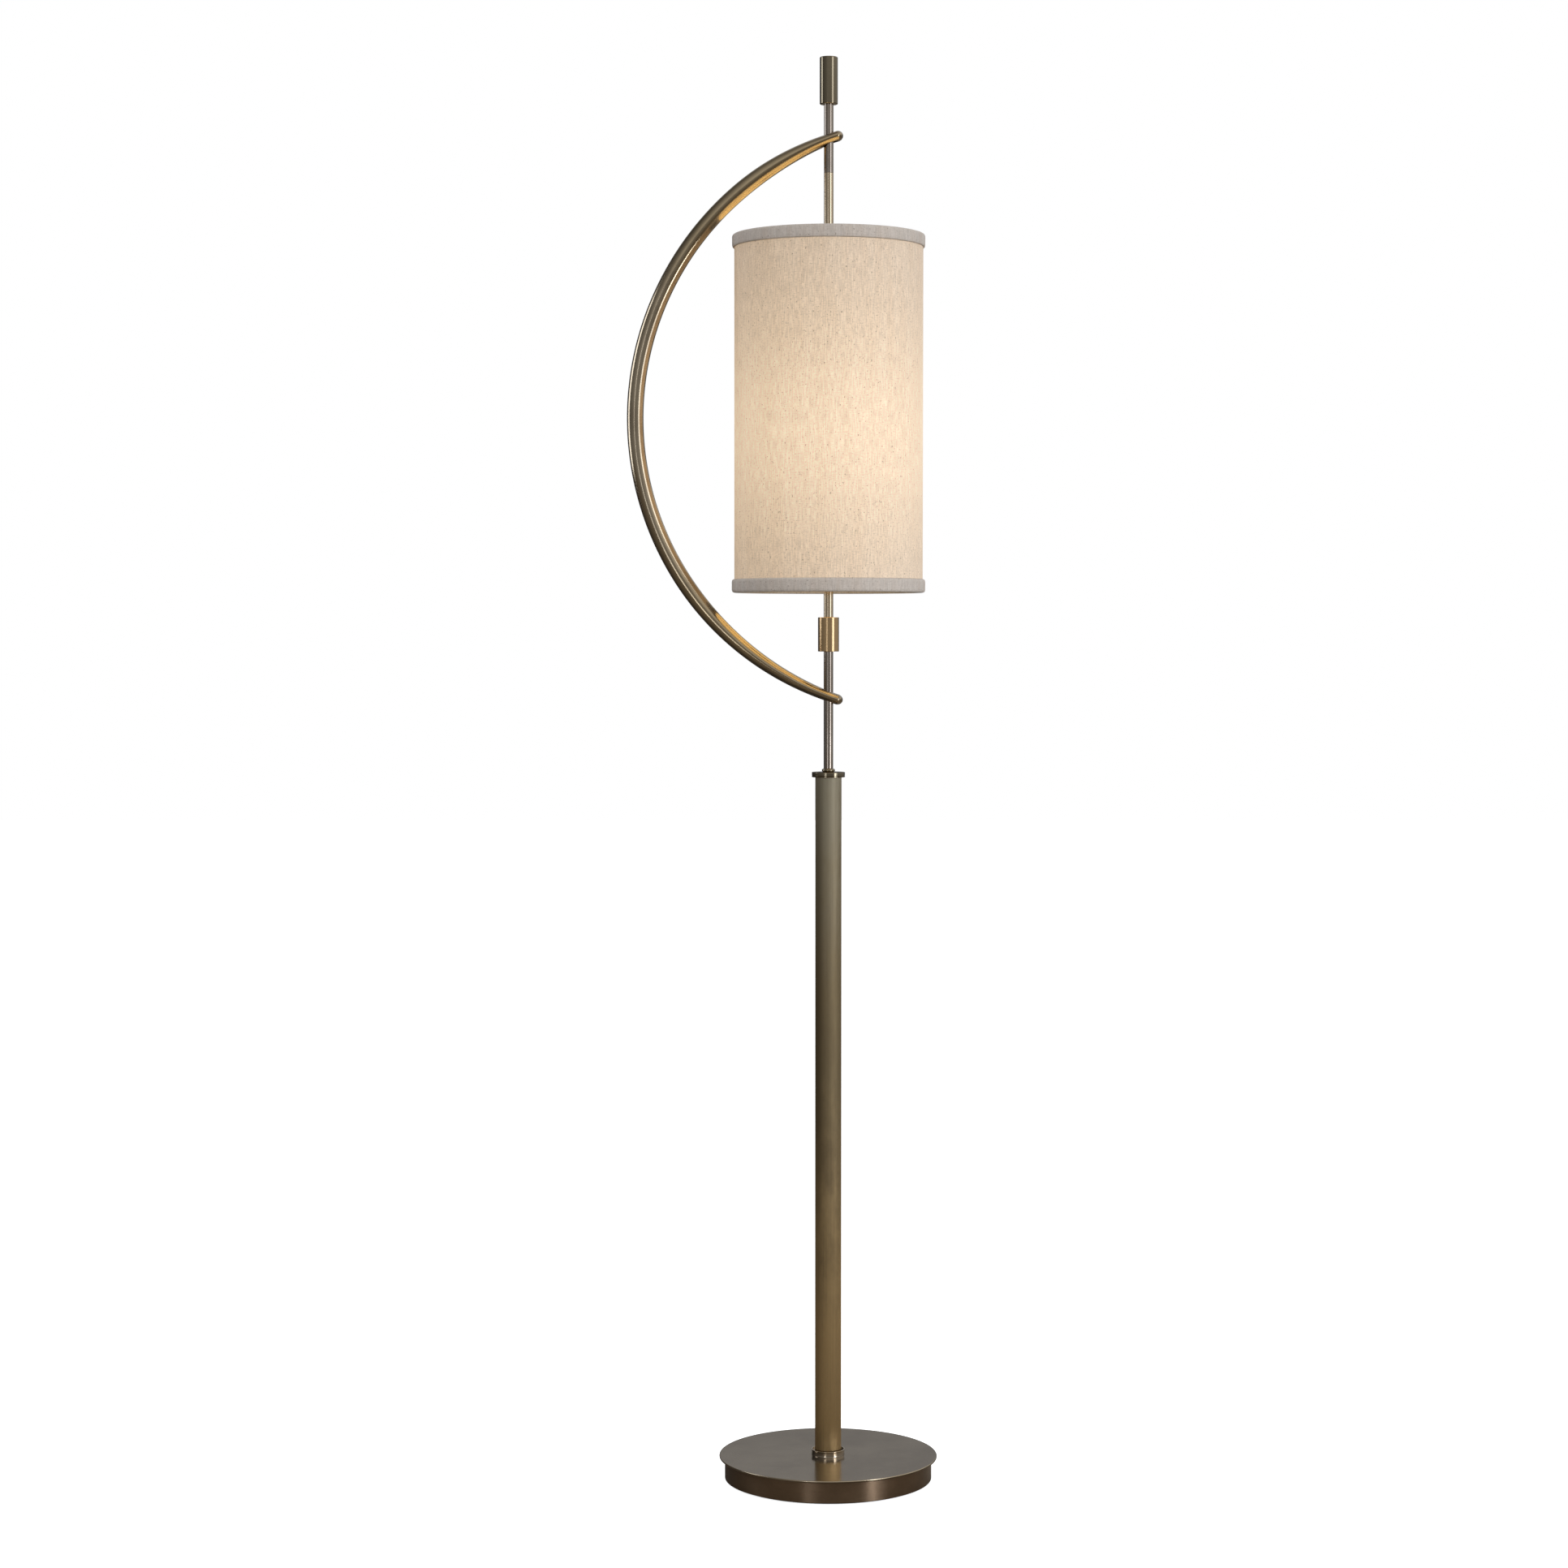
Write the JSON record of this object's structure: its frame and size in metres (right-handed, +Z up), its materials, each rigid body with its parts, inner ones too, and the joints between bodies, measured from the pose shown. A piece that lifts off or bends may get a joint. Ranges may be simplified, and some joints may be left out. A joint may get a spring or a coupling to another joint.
{
  "type": "arc floor lamp",
  "caption": "Floor lamp on a round weighted base: a slim column, a C-shaped bow beside it and a tall drum shade of linen on the central rod, topped by a plain cylindrical finial.",
  "frame": {"origin": "on the floor, on the axis of the column, at the centre of the round base", "axes": "+Z up along the column and the central rod; the bow bends towards -X; +Y is the back, where the cord inlet is"},
  "size_m": [0.3655, 0.258, 1.6746],
  "materials": {
    "aged_brass": "satin, antique",
    "dark_bronze": "semi-gloss, dark antique",
    "light_brass": "satin",
    "felt": "matt",
    "iron": "rough",
    "steel": "zinc plated",
    "black_plastic": "matt",
    "linen": "woven, slubbed",
    "liner": "translucent, matt",
    "trim_linen": "woven",
    "ring_wire": "white",
    "fibre": "vulcanised fibre",
    "socket_brass": "polished",
    "card": "matt",
    "phenolic": "moulded",
    "screw_metal": "bright",
    "bulb_glass": "frosted",
    "lead_sheath": "smooth",
    "connector_plastic": "moulded"
  },
  "bodies": {
    "stand": {"floor_pad": "felt", "base_weight": "iron", "base_skirt": "dark_bronze", "cord_bushing": "black_plastic", "base_plate": "dark_bronze", "base_washer": "steel", "base_lock_washer": "steel", "base_nut": "steel", "base_stud": "steel", "column_tube": "aged_brass", "column_foot": "steel", "column_head": "steel", "base_collar": "dark_bronze", "column_cap": "dark_bronze", "neck_bead": "dark_bronze", "neck_rod": "dark_bronze", "neck_pipe": "steel", "rod_coupling": "aged_brass", "bow_tube": "aged_brass", "lower_pipe": "steel", "upper_pipe": "steel", "lower_rod": "light_brass", "middle_rod": "light_brass", "shade_rod": "light_brass", "finial_rod": "dark_bronze", "finial": "aged_brass", "fibre_washers": "fibre", "cluster_housing": "light_brass", "cluster_cover": "light_brass", "main_leads": "lead_sheath", "wire_connectors": "connector_plastic", "socket_leads": "lead_sheath", "terminal_block": "connector_plastic", "left_arm": "light_brass", "left_cup": "socket_brass", "left_shell": "socket_brass", "left_card": "card", "left_core": "phenolic", "left_screw_shell": "screw_metal", "left_bulb_base": "screw_metal", "left_bulb_glass": "bulb_glass", "right_arm": "light_brass", "right_cup": "socket_brass", "right_shell": "socket_brass", "right_card": "card", "right_core": "phenolic", "right_screw_shell": "screw_metal", "right_bulb_base": "screw_metal", "right_bulb_glass": "bulb_glass"},
    "shade": {"shade_linen": "linen", "shade_liner": "liner", "top_trim": "trim_linen", "bottom_trim": "trim_linen", "top_ring": "ring_wire", "bottom_ring": "ring_wire", "shade_spider": "ring_wire"},
    "left_switch": {"left_switch_knob": "phenolic"},
    "right_switch": {"right_switch_knob": "phenolic"}
  },
  "joints": [
    {"name": "shade_turn", "type": "hinge", "parent": "stand", "child": "shade", "pos_m": [0, 0, 1.443], "axis": [0, 0, 1], "continuous": true},
    {"name": "left_switch_turn", "type": "hinge", "parent": "stand", "child": "left_switch", "pos_m": [-0.042, 0, 1.1435], "axis": [-1, 0, 0], "continuous": true},
    {"name": "right_switch_turn", "type": "hinge", "parent": "stand", "child": "right_switch", "pos_m": [0.042, 0, 1.1435], "axis": [1, 0, 0], "continuous": true}
  ]
}
